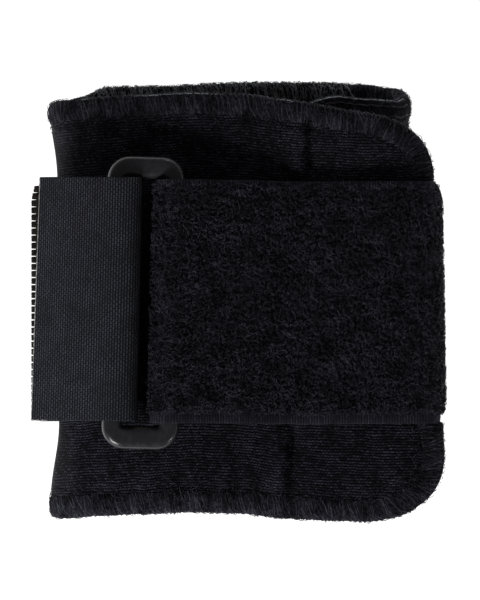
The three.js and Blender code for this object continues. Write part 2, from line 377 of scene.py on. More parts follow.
def threads(
    name: str, paths: np.ndarray, radius: np.ndarray, sides: int, material: Material, first: float = 0.0
) -> Piece:
    """Makes many short closed strands as one mesh.

    Args:
        name: Piece name.
        paths: Points of each strand, strands by points by three, in metres.
        radius: Radius at each point, in millimetres.
        sides: Sides of a strand's section.
        material: Their finish.
        first: Angle of the section's first corner.

    Returns:
        The joined strands.
    """
    steep = 0.8
    count, points = paths.shape[:2]
    ahead = unit(np.gradient(paths, axis=1))
    chord = unit(paths[:, -1:] - paths[:, :1])
    helper = np.where(np.abs(chord[..., 2:]) < steep, [0.0, 0.0, 1.0], [1.0, 0.0, 0.0])
    side = unit(np.cross(ahead, helper))
    up = np.cross(side, ahead)
    turn = first + 2 * math.pi * np.arange(sides) / sides
    spoke = side[:, :, None] * np.cos(turn)[:, None] + up[:, :, None] * np.sin(turn)[:, None]
    radius = np.broadcast_to(radius, (count, points))
    skin = paths[:, :, None] + spoke * (radius * MM)[:, :, None, None]
    number = np.arange(count * points * sides).reshape(count, points, sides)
    near, far = number[:, :-1], number[:, 1:]
    walls = np.stack([near, far, np.roll(far, -1, axis=2), np.roll(near, -1, axis=2)], axis=-1)
    starts, ends = number[:, 0, :], number[:, -1, ::-1]
    faces = [*walls.reshape(-1, 4).tolist(), *starts.tolist(), *ends.tolist()]
    return mesh_piece(name, skin, faces, material)


def band(
    name: str,
    along: np.ndarray,
    half: tuple[np.ndarray, np.ndarray],
    shares: np.ndarray,
    faces: tuple[Height, Height],
    bend: Bend,
    material: Material,
) -> Piece:
    """Makes a closed strip of cloth along a bent run, from a grid rolled round its section.

    Args:
        name: Piece name.
        along: Lengths of its columns.
        half: Half width of the strip at each column, below and above its middle.
        shares: Places across the strip, from -1 to 1.
        faces: Height of the outer face and of the inner face above the run's middle, from length and width.
        bend: Bends the flat strip.
        material: Its finish.

    Returns:
        The strip, with a UV map of its flat cut in metres.
    """
    weld = 0.001 * MM
    columns, rows = len(along), 2 * len(shares)
    deselect()
    bpy.ops.mesh.primitive_grid_add(x_subdivisions=columns - 1, y_subdivisions=rows, size=1, calc_uvs=True)
    piece, grid = named_primitive(name)
    mesh = piece.data
    grid = grid + 0.5
    column = np.rint(grid[:, 0] * (columns - 1)).astype(int)
    row = np.rint(grid[:, 1] * rows).astype(int) % rows
    share = np.concatenate([shares, shares[::-1]])[row]
    s, v = along[column], share * np.where(share < 0, half[0][column], half[1][column])
    outer, inner = (face(s, v) for face in faces)
    height = np.where(row < len(shares), outer, inner)
    height = np.where((column == 0) | (column == columns - 1), (outer + inner) / 2, height)
    mesh.vertices.foreach_set("co", bend(s, v, height).ravel())
    corner = np.zeros(len(mesh.loops), int)
    mesh.loops.foreach_get("vertex_index", corner)
    flat = np.stack([s[corner], v[corner]], axis=-1) * MM
    mesh.uv_layers.active.data.foreach_set("uv", flat.ravel())
    bpy.ops.object.mode_set(mode="EDIT")
    bpy.ops.mesh.select_all(action="SELECT")
    bpy.ops.mesh.remove_doubles(threshold=weld)
    bpy.ops.mesh.normals_make_consistent(inside=False)
    bpy.ops.object.mode_set(mode="OBJECT")
    bpy.ops.object.shade_smooth()
    mesh.materials.append(material)
    return piece


class Graph:
    """Adds nodes to a node tree and joins them."""

    def __init__(self, tree: bpy.types.NodeTree) -> None:
        """Starts with an empty tree."""
        self.tree = tree
        tree.nodes.clear()

    def add(self, kind: str, inputs: dict | None = None, **settings: object) -> bpy.types.Node:
        """Adds a node.

        Args:
            kind: Blender's name of the node type.
            inputs: Sockets or values for its named inputs.
            settings: Its other properties.

        Returns:
            The new node.
        """
        node = self.tree.nodes.new(kind)
        for name, value in settings.items():
            setattr(node, name, value)
        for name, value in (inputs or {}).items():
            self.feed(value, node.inputs[name])
        return node

    def feed(self, value: object, socket: Socket) -> None:
        """Joins a socket to an input, or sets the input to a plain value.

        Args:
            value: The socket or value.
            socket: The input.
        """
        if isinstance(value, Socket):
            self.tree.links.new(value, socket)
        else:
            socket.default_value = value

    def math(self, operation: str, *values: object) -> Socket:
        """Adds a Math node.

        Args:
            operation: What it does.
            values: Sockets or values that it takes.

        Returns:
            Its result.
        """
        node = self.add("ShaderNodeMath", operation=operation)
        for value, socket in zip(values, node.inputs):
            self.feed(value, socket)
        return node.outputs[0]

    def wave(self, phase: object) -> Socket:
        """Returns a sine from 0 to 1 that repeats once in each whole number of phase."""
        swing = self.math("SINE", self.math("MULTIPLY", phase, 2 * math.pi))
        return self.math("MULTIPLY_ADD", swing, 0.5, 0.5)

    def noise(self, place: Socket, scale: object, detail: float) -> Socket:
        """Returns a smooth noise."""
        return self.add("ShaderNodeTexNoise", {"Vector": place, "Scale": scale, "Detail": detail}).outputs[0]

    def mix(self, share: Socket, low: Colour, high: Colour) -> Socket:
        """Returns a colour between two colours."""
        node = self.add("ShaderNodeMix", {0: share, 6: (*low, 1), 7: (*high, 1)}, data_type="RGBA")
        return node.outputs[2]


def group_node(
    name: str, places: Sequence[str], sizes: Sequence[str], outputs: Sequence[str]
) -> tuple[bpy.types.NodeTree, Graph, dict[str, Socket]]:
    """Starts a shader node group.

    Args:
        name: Its name.
        places: Names of its vector inputs.
        sizes: Names of its float inputs.
        outputs: Names of its float outputs.

    Returns:
        The group, a graph on it and its inputs by name.
    """
    tree = bpy.data.node_groups.new(name, "ShaderNodeTree")
    for label in places:
        tree.interface.new_socket(label, in_out="INPUT", socket_type="NodeSocketVector")
    for label in sizes:
        tree.interface.new_socket(label, in_out="INPUT", socket_type="NodeSocketFloat")
    for label in outputs:
        tree.interface.new_socket(label, in_out="OUTPUT", socket_type="NodeSocketFloat")
    graph = Graph(tree)
    inlet = graph.add("NodeGroupInput")
    return tree, graph, {label: inlet.outputs[label] for label in (*places, *sizes)}


def fibre_group() -> bpy.types.NodeTree:
    """Makes the group that gives cloth its uneven tone and fine fuzz, from Object coordinates.

    Returns:
        The new group.
    """
    broad_scale, fine_detail, broad_detail = 260.0, 3.0, 2.0
    contrast, darkest = 4.0, -0.5
    tree, graph, inlet = group_node("fibre_tone", ("Place",), ("Fineness",), ("Tone", "Height"))
    fine = graph.noise(inlet["Place"], inlet["Fineness"], fine_detail)
    broad = graph.noise(inlet["Place"], broad_scale, broad_detail)
    tone = graph.math("MULTIPLY_ADD", graph.math("MULTIPLY", fine, broad), contrast, darkest)
    clamped = graph.add("ShaderNodeClamp", {"Value": tone})
    graph.add("NodeGroupOutput", {"Tone": clamped.outputs[0], "Height": fine})
    return tree


def rows_group() -> bpy.types.NodeTree:
    """Makes the group that draws rows of small stitches on a flat cut, in metres.

    Returns:
        The new group.
    """
    slow_scale, quick_scale, detail = 0.2, 1.3, 2.0
    slow_sway, brick, quarter = 2.0, 0.5, 0.25
    beats, beat_share = 2.0, 0.45
    sharpness, row_share = 2.0, 0.6
    slow_light = {1: 0.36, 2: 0.64, 3: -0.55, 4: 0.25}
    quick_light = {1: 0.35, 2: 0.7, 3: -0.5, 4: 0.1}
    single_light, single_dark, weakest = 1.3, -0.6, 0.1
    sizes = ("Row", "Stitch", "Break", "Drift", "Patches")
    tree, graph, inlet = group_node("stitch_rows", ("Flat",), sizes, ("Light", "Height"))
    scaled = graph.add("ShaderNodeVectorMath", {0: inlet["Flat"], "Scale": 1 / MM}, operation="SCALE")
    flat = scaled.outputs[0]
    along, across, _ = graph.add("ShaderNodeSeparateXYZ", {0: flat}).outputs
    slow = graph.noise(flat, slow_scale, detail)
    quick = graph.noise(flat, quick_scale, detail)
    row = graph.math("DIVIDE", across, inlet["Row"])
    row = graph.math("MULTIPLY_ADD", slow, graph.math("MULTIPLY", inlet["Drift"], slow_sway), row)
    row = graph.math("MULTIPLY_ADD", quick, inlet["Drift"], row)
    rows = graph.wave(row)
    stitch = graph.math("DIVIDE", along, inlet["Stitch"])
    row_number = graph.math("FLOOR", graph.math("ADD", row, quarter))
    stitch = graph.math("MULTIPLY_ADD", row_number, brick, stitch)
    stitch = graph.math("MULTIPLY_ADD", slow, slow_sway, stitch)
    beat = graph.wave(graph.math("MULTIPLY_ADD", stitch, beats, quarter))
    dash = graph.math("MULTIPLY", graph.wave(stitch), 1 - beat_share)
    dash = graph.math("MULTIPLY_ADD", beat, beat_share, dash)
    stitch_number = graph.math("FLOOR", graph.math("ADD", stitch, quarter))
    cell = graph.add("ShaderNodeCombineXYZ", {0: stitch_number, 1: graph.math("FLOOR", row)})
    single = graph.add("ShaderNodeTexWhiteNoise", {"Vector": cell.outputs[0]}, noise_dimensions="2D")
    broad = graph.add("ShaderNodeMapRange", {0: slow, **slow_light})
    fine = graph.add("ShaderNodeMapRange", {0: quick, **quick_light})
    uneven = graph.math("ADD", broad.outputs[0], fine.outputs[0])
    one = graph.math("MULTIPLY_ADD", single.outputs[0], single_light, single_dark)
    uneven = graph.math("ADD", uneven, one)
    strong = graph.math("MULTIPLY_ADD", uneven, inlet["Patches"], 1.0)
    strong = graph.math("MAXIMUM", strong, weakest)
    gaps = graph.math("MULTIPLY", graph.math("SUBTRACT", 1.0, dash), inlet["Break"])
    light = graph.math("MULTIPLY", graph.math("POWER", rows, sharpness), graph.math("SUBTRACT", 1.0, gaps))
    light = graph.math("MULTIPLY", light, strong)
    height = graph.math("MULTIPLY_ADD", dash, 1 - row_share, graph.math("MULTIPLY", rows, row_share))
    graph.add("NodeGroupOutput", {"Light": light, "Height": height})
    return tree


class Groups:
    """The node groups that several finishes share."""

    def __init__(self) -> None:
        """Builds each group once."""
        self.fibre = fibre_group()
        self.rows = rows_group()


class Coordinates(Enum):
    """What a finish's pattern follows."""

    OBJECT = "Object"
    FLAT = "UV"


@dataclass(frozen=True)
class Finish:
    """A dark finish of uneven tone, with a fine relief."""

    name: str
    dark: Colour
    light: Colour
    fineness: float

    def start(self, groups: Groups) -> tuple[Material, Graph, bpy.types.Node, bpy.types.Node]:
        """Starts a material.

        Args:
            groups: The shared node groups.

        Returns:
            The material, a graph on it, its coordinates and its fibres.
        """
        material = bpy.data.materials.new(self.name)
        material.use_nodes = True
        graph = Graph(material.node_tree)
        where = graph.add("ShaderNodeTexCoord")
        inputs = {"Place": where.outputs[Coordinates.OBJECT.value], "Fineness": self.fineness}
        fibre = graph.add("ShaderNodeGroup", inputs, node_tree=groups.fibre)
        return material, graph, where, fibre

    def end(self, graph: Graph, tone: Socket, relief: dict, shine: dict) -> None:
        """Joins a material's nodes to its output.

        Args:
            graph: Graph on the material.
            tone: Place between the dark and the light colour.
            relief: Inputs of its bump.
            shine: Inputs of its shader besides colour and relief.
        """
        colour = graph.mix(tone, self.dark, self.light)
        bump = graph.add("ShaderNodeBump", relief)
        inputs = {"Base Color": colour, "Normal": bump.outputs[0], **shine}
        shader = graph.add("ShaderNodeBsdfPrincipled", inputs)
        graph.add("ShaderNodeOutputMaterial", {"Surface": shader.outputs[0]})


@dataclass(frozen=True)
class Cloth(Finish):
    """A dark cloth finish with uneven fibres, and rows of stitches where it has any.

    row and stitch are their spacing, gaps how far the stitches stand apart, drift how the rows wander and
    patches how unevenly they catch the light.
    turned lays the rows across the cloth, and margin keeps them to places that far from its middle.
    bare is the tone of cloth without rows, and even the tone of rows without patches.
    fuzz is the share of the fibres' height under rows, and strength that of the whole relief.
    """

    roughness: float
    bump: float
    specular: float
    row: float = 0.0
    stitch: float = 1.0
    gaps: float = 0.85
    drift: float = 0.6
    patches: float = 0.8
    turned: bool = False
    margin: float = 0.0
    bare: float = 0.8
    even: float = 0.9
    fuzz: float = 0.2
    strength: float = 0.8

    def material(self, groups: Groups) -> Material:
        """Builds the finish.

        Args:
            groups: The shared node groups.

        Returns:
            The new material.
        """
        material, graph, where, fibre = self.start(groups)
        tone, height = fibre.outputs["Tone"], fibre.outputs["Height"]
        if self.row:
            cut = where.outputs[Coordinates.FLAT.value]
            tone, height = self.stitched(graph, groups, cut, tone, height)
        relief = {"Height": height, "Strength": self.strength, "Distance": self.bump * MM}
        self.end(graph, tone, relief, {"Roughness": self.roughness, "Specular IOR Level": self.specular})
        return material

    def stitched(
        self, graph: Graph, groups: Groups, cut: Socket, tone: Socket, height: Socket
    ) -> tuple[Socket, Socket]:
        """Lays rows of stitches over the fibres.

        Args:
            graph: Graph on the material.
            groups: The shared node groups.
            cut: Place on the flat cut.
            tone: Tone of the fibres.
            height: Height of the fibres.

        Returns:
            Tone and height of both together.
        """
        sizes = {
            "Row": self.row, "Stitch": self.stitch, "Break": self.gaps,
            "Drift": self.drift, "Patches": self.patches,
        }
        rows = graph.add("ShaderNodeGroup", {"Flat": self.flat(graph, cut), **sizes}, node_tree=groups.rows)
        shown = self.shown(graph, cut)
        light = graph.math("MULTIPLY", rows.outputs["Light"], shown)
        plain = graph.math("MULTIPLY", tone, self.bare)
        plain = graph.math("MULTIPLY", graph.math("SUBTRACT", 1.0, shown), plain)
        uneven = graph.math("MULTIPLY_ADD", tone, self.patches, self.even - self.patches / 2)
        raised = graph.math("MULTIPLY", rows.outputs["Height"], shown)
        height = graph.math("MULTIPLY_ADD", height, self.fuzz, raised)
        return graph.math("MULTIPLY_ADD", light, uneven, plain), height

    def flat(self, graph: Graph, cut: Socket) -> Socket:
        """Swaps the two directions of the flat cut where the rows are turned.

        Args:
            graph: Graph on the material.
            cut: Place on the flat cut.

        Returns:
            The place for the rows.
        """
        if not self.turned:
            return cut
        parts = graph.add("ShaderNodeSeparateXYZ", {0: cut})
        return graph.add("ShaderNodeCombineXYZ", {0: parts.outputs[1], 1: parts.outputs[0]}).outputs[0]

    def shown(self, graph: Graph, cut: Socket) -> Socket:
        """Tells where the cloth has rows.

        Args:
            graph: Graph on the material.
            cut: Place on the flat cut.

        Returns:
            1 where it has them and 0 where it has none.
        """
        slack = 1e-6
        across = graph.math("ABSOLUTE", graph.add("ShaderNodeSeparateXYZ", {0: cut}).outputs[1])
        return graph.math("GREATER_THAN", across, self.margin * MM - slack)


@dataclass(frozen=True)
class MouldedPlastic(Finish):
    """Black moulded plastic with a satin skin."""

    name: str = "moulded_plastic"
    dark: Colour = (0.021, 0.021, 0.0245)
    light: Colour = (0.033, 0.033, 0.0385)
    fineness: float = 900.0
    roughness: float = 0.2
    dullness: float = 0.1
    grain: float = 0.05
    strength: float = 0.15

    def material(self, groups: Groups) -> Material:
        """Builds the finish.

        Args:
            groups: The shared node groups.

        Returns:
            The new material.
        """
        material, graph, _, skin = self.start(groups)
        tone = skin.outputs["Tone"]
        roughness = graph.math("MULTIPLY_ADD", tone, self.dullness, self.roughness)
        relief = {"Height": skin.outputs["Height"], "Strength": self.strength, "Distance": self.grain * MM}
        self.end(graph, tone, relief, {"Roughness": roughness})
        return material


@dataclass
class Panel:
    """The neoprene panel, wound into the tube that holds the wrist."""

    frame: Frame
    groups: Groups
    run: Run = field(default_factory=lambda: Run(PANEL_SECTIONS, ("drift", "flare", "lean", "spread")))
    waist_half: float = 25.5
    hem_free: float = 41.0
    spread_shift: float = 0.25
    spread_reach: Span = (24.3, 25.05)
    crease_x: float = 12.2
    crease_lean: float = 0.058
    crease_widths: Span = (0.5, 1.2)
    crease_depth: float = 1.5
    crease_start: Span = (24.0, 27.5)
    crease_end: Span = (35.0, 40.0)
    bulge_width: float = 2.2
    bulge: float = 0.8
    front_length: float = 80.0
    seam_depth: float = 3.2
    groove: float = 0.12
    groove_inset: float = 2.2
    groove_width: float = 0.6
    pucker: float = 0.22
    pucker_pitch: float = 6.4
    pucker_drift: float = 1.7
    drift_length: float = 11.0
    taper: float = 2.5
    taper_reach: Span = (7.0, 32.0)
    corner_columns: int = 14
    plain_step: float = 1.0
    fine_step: float = 0.4
    fine_reach: float = 6.0
    seam_rows: tuple[float, ...] = (0, 0.6, 1.2, 1.6, 1.9, 2.2, 2.5, 2.8, 3.2, 3.8, 4.8)
    plain_inset: float = 6.0
    plain_rows: int = 48

    def bend(self, s: np.ndarray, v: np.ndarray, n: np.ndarray) -> np.ndarray:
        """Bends the flat panel.

        Args:
            s: Length along it.
            v: Place across it.
            n: Height above the middle of its wall.

        Returns:
            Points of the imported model, in metres.
        """
        here = self.run.at(s)
        y = v + here["drift"]
        free = smoothstep(np.abs(y), self.waist_half, self.hem_free)
        near = smoothstep(np.abs(y + self.spread_shift), *self.spread_reach)
        wander = self.pucker_drift * np.sin(s / self.drift_length)
        wave = np.sin(2 * math.pi * s / self.pucker_pitch + wander + np.sign(v))
        out = n + here["flare"] * free + self.pucker * wave * free
        out = out + (s > self.run.length - self.front_length) * self.crease(here["x"], y)
        x = here["x"] + here["nx"] * out + here["lean"] * y + here["spread"] * near
        return self.frame.place(x, y, here["z"] + here["nz"] * out)

    def crease(self, x: np.ndarray, y: np.ndarray) -> np.ndarray:
        """Returns the height of the front's crease and of the swelling beside it.

        Args:
            x: Place across the forearm.
            y: Place along the forearm.

        Returns:
            Height above the smooth front.
        """
        beside = x - self.crease_x - self.crease_lean * y
        swell = self.bulge * np.exp(-((beside / self.bulge_width + 1) ** 2))
        width = np.where(beside < 0, *self.crease_widths)
        sink = self.crease_depth * np.exp(-((beside / width) ** 2))
        bare = smoothstep(np.abs(y), *self.crease_start) * (1 - smoothstep(np.abs(y), *self.crease_end))
        return (swell - sink) * bare

    def tapered(self, s: np.ndarray) -> np.ndarray:
        """Returns how far the upper hem falls towards the panel's outer end."""
        return self.taper * (1 - smoothstep(self.run.length - s, *self.taper_reach))

    def columns(self, start: float, end: float, radius: float) -> np.ndarray:
        """Spaces the wall's columns, closer at its round ends and at the crease.

        Args:
            start: Start of the wall.
            end: End of the wall.
            radius: Radius of its corners.

        Returns:
            Lengths along the panel.
        """
        rounded = radius * (1 - np.cos(np.linspace(0, math.pi / 2, self.corner_columns)))
        crease = self.run.along_at_x(self.crease_x, self.run.length - self.front_length)
        plain = np.arange(start + radius + self.plain_step, end - radius, self.plain_step)
        plain = plain[np.abs(plain - crease) > self.fine_reach + self.fine_step]
        fine = np.arange(crease - self.fine_reach, crease + self.fine_reach, self.fine_step)
        return np.sort(np.concatenate([start + rounded, plain, fine, end - rounded]))

    def build(self) -> Piece:
        """Returns:
            The wall.
        """
        knit = Cloth(
            "knit_facing", (0.003, 0.0029, 0.0048), (0.08, 0.0765, 0.11), fineness=3000.0, roughness=0.65,
            bump=0.14, specular=0.08, row=0.575, stitch=0.62, gaps=0.9, drift=0.8, patches=0.95,
        )
        half = SUPPORT_HEIGHT / 2 - self.seam_depth
        radius, low_radius = CORNER_RADIUS - self.seam_depth, LOW_CORNER_RADIUS - self.seam_depth
        start, end = self.seam_depth, self.run.length - self.seam_depth
        along = self.columns(start, end, radius)
        inner_end = half - corner_drop(along - start, radius)
        above = inner_end - corner_drop(end - along, radius) - self.tapered(along)
        below = inner_end - corner_drop(end - along, low_radius)
        seam = np.array(self.seam_rows) / half
        plain = 1 - self.plain_inset / half
        shares = np.concatenate([seam - 1, np.linspace(-plain, plain, self.plain_rows), 1 - seam[::-1]])

        def outer(s: np.ndarray, v: np.ndarray) -> np.ndarray:
            """Shapes the outer face, pulled in along its seam.

            Args:
                s: Length along the panel.
                v: Place across it.

            Returns:
                Height above the middle of the wall.
            """
            edge = np.where(v < 0, np.interp(s, along, below), np.interp(s, along, above)) - np.abs(v)
            edge = np.minimum(edge, np.minimum(end - s, s - start))
            pulled = np.exp(-(((edge - self.groove_inset) / self.groove_width) ** 2))
            return NEOPRENE / 2 - self.groove * pulled

        walls = (outer, lambda s, v: 0 * s - NEOPRENE / 2)
        finish = knit.material(self.groups)
        piece = band("neoprene_wall", along, (below, above), shares, walls, self.bend, finish)
        dress([piece], "neoprene_body")
        return piece


@dataclass
class EdgeLine:
    """The middle line of the panel's edge, with the places beside it and on the roll that follows it."""

    panel: Panel
    squareness: float = 0.75
    corner_points: int = 24
    samples: int = 2400
    length: float = field(init=False)
    around: np.ndarray = field(init=False)
    middle: np.ndarray = field(init=False)
    ahead: np.ndarray = field(init=False)

    def __post_init__(self) -> None:
        """Samples the line, its direction and the length round the panel."""
        start, end = EDGE_WIDTH / 2, self.panel.run.length - EDGE_WIDTH / 2
        top = SUPPORT_HEIGHT / 2 - start
        wide, low = CORNER_RADIUS - start, LOW_CORNER_RADIUS - start
        corners = (
            (end - low, low - top, low, -90),
            (end - wide, top - wide, wide, 0),
            (start + wide, top - wide, wide, 90),
            (start + wide, wide - top, wide, 180),
        )
        points = [np.array([[start + wide, -top]])]
        for x, y, radius, turn in corners:
            angle = np.radians(turn + np.linspace(0, 90, self.corner_points))
            points.append(np.stack([x + radius * np.cos(angle), y + radius * np.sin(angle)], axis=-1))
        line = np.vstack(points)
        length = np.concatenate([[0], np.cumsum(np.linalg.norm(np.diff(line, axis=0), axis=1))])
        self.length = float(length[-1])
        self.around = np.linspace(0, self.length, self.samples)
        self.middle = np.stack([np.interp(self.around, length, line[:, i]) for i in (0, 1)], axis=-1)
        fall = self.panel.tapered(self.middle[:, 0]) * smoothstep(self.middle[:, 1], 0, top - wide)
        self.middle[:, 1] -= fall
        self.ahead = unit(np.gradient(self.middle, axis=0))

    def read(self, table: np.ndarray, around: np.ndarray) -> list[np.ndarray]:
        """Returns both columns of a table along the line, at lengths round the panel."""
        return [np.interp(around % self.length, self.around, column) for column in table.T]

    def beside(self, around: np.ndarray, across: np.ndarray, out: np.ndarray) -> np.ndarray:
        """Places points beside the line.

        Args:
            around: Length round the panel.
            across: Distance from the line, towards the rim.
            out: Height above the middle of the wall.

        Returns:
            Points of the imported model.
        """
        s, v = self.read(self.middle, around)
        ahead_s, ahead_v = self.read(self.ahead, around)
        return self.panel.bend(s + ahead_v * across, v - ahead_s * across, out)

    def at(self, around: np.ndarray, turn: np.ndarray, depth: np.ndarray | float) -> np.ndarray:
        """Places points on the roll.

        Args:
            around: Length round the panel.
            turn: Angle round the roll's section, 0 at its rim.
            depth: How far they lie under its full size.

        Returns:
            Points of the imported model.
        """
        wide, high = (
            np.sign(part) * np.abs(part) ** self.squareness for part in (np.cos(turn), np.sin(turn))
        )
        across = (EDGE_WIDTH / 2 - depth) * wide
        return self.beside(around, across, (EDGE_THICKNESS / 2 - depth) * high)

    def along_hem(self, s: float, upper: bool) -> float:
        """Returns the length round the panel where a straight hem, the upper or lower one, crosses s."""
        hem = (self.middle[:, 1] > 0) == upper
        return float(self.around[hem][np.argmin(np.abs(self.middle[hem, 0] - s))])


@dataclass(frozen=True)
class Stitches:
    """The slanted threads that wrap the roll, with a thinner filler after each."""

    pitch: float = 0.85
    scatter: float = 0.09
    open_side: Span = (0.25, 0.5)
    lean: float = -1.1
    lean_spread: float = 0.6
    filler_lean: float = 0.5
    sway: float = 0.3
    sway_rate: float = 2.6
    thread: float = 0.17
    filler: float = 0.1
    unevenness: Span = (0.8, 1.15)
    tip: float = 0.35
    tip_slope: float = 4.0
    points: int = 11
    sides: int = 4

    def draw(self, dice: np.random.Generator, length: float) -> tuple[np.ndarray, ...]:
        """Draws the threads.

        Args:
            dice: Seeded random numbers.
            length: Length round the panel.

        Returns:
            Where each thread lies, then the length round the panel, the turn and the radius of its points.
        """
        count = int(length / self.pitch)
        thin = np.tile([False, True], count)
        total = len(thin)
        first = np.repeat(np.arange(count) * length / count, 2) + np.where(thin, self.pitch / 2, 0)
        first = first + dice.normal(0, self.scatter, total)
        reach = math.pi - dice.uniform(*self.open_side, total)
        shares = np.linspace(1, -1, self.points)
        turn = shares * reach[:, None]
        filler_lean = dice.uniform(-self.filler_lean, self.filler_lean, total)
        lean = np.where(thin, filler_lean, self.lean * dice.normal(1.0, self.lean_spread, total))
        phase = dice.uniform(0, 2 * math.pi, (total, 1))
        slip = lean[:, None] * turn / (math.pi / 2) + self.sway * np.sin(self.sway_rate * turn + phase)
        radius = np.where(thin, self.filler, self.thread) * dice.uniform(*self.unevenness, total)
        ends = np.minimum(1, self.tip + self.tip_slope * (1 - np.abs(shares)))
        return first, first[:, None] + slip, turn, radius[:, None] * ends


@dataclass(frozen=True)
class RunningThreads:
    """Threads that run along a stretch of the hem, at angles round the roll's section.

    dip is how deep they pass under the other threads.
    """

    name: str
    turns: tuple[float, ...]
    radius: float
    dip: float = 0.0
    step: float = 0.5
    sway: float = 0.04
    sway_rates: Span = (2 * math.pi / 2.3, 1 / 5.0)
    dip_rates: Span = (1 / 3.1, 1 / 7.0)
    sides: int = 4

    def build(self, line: EdgeLine, reach: Span, under: float, material: Material) -> Piece:
        """Makes the threads.

        Args:
            line: The edge that they run along.
            reach: Where the stretch starts and ends round the panel.
            under: How far they lie under the roll's full size.
            material: Their finish.

        Returns:
            The joined threads.
        """
        around = np.linspace(*reach, int((reach[1] - reach[0]) / self.step))
        sway = self.sway * uneven_wave(around, *self.sway_rates)
        depth = under + self.dip * (0.5 + 0.5 * uneven_wave(around, *self.dip_rates))
        turns = np.array(self.turns)[:, None]
        paths = line.at(around + 0 * turns, turns + sway, depth)
        return threads(self.name, paths, np.full(len(around), self.radius), self.sides, material)


@dataclass(frozen=True)
class Fuzz:
    """Loose fibres that start beside a line, drift along it, bend aside and arch over their ground."""

    beside: Span
    bend: float
    bend_power: int
    arch: Span
    radius: float
    drift: float = 0.7
    height: Span = (0.1, 0.4)
    points: int = 3
    sides: int = 3

    def draw(self, dice: np.random.Generator, count: int, reach: Span) -> tuple[np.ndarray, ...]:
        """Draws the fibres.

        Args:
            dice: Seeded random numbers.
            count: Number of fibres.
            reach: Where they start and end along the line.

        Returns:
            Length along the line, start beside it, bend from there and height of each point.
        """
        rise = np.linspace(0, 1, self.points)
        each = (count, 1)
        around = dice.uniform(*reach, each)
        beside = dice.uniform(*self.beside, each)
        around = around + dice.normal(0, self.drift, each) * rise
        bend = dice.normal(0, self.bend, each) * rise**self.bend_power
        height = dice.uniform(*self.height, each) * np.sin(rise * dice.uniform(*self.arch, each))
        return around, beside, bend, height

    def build(self, name: str, paths: np.ndarray, material: Material) -> Piece:
        """Returns the joined fibres, at half their radius where they end."""
        return threads(name, paths, self.radius * np.linspace(1, 0.5, self.points), self.sides, material)


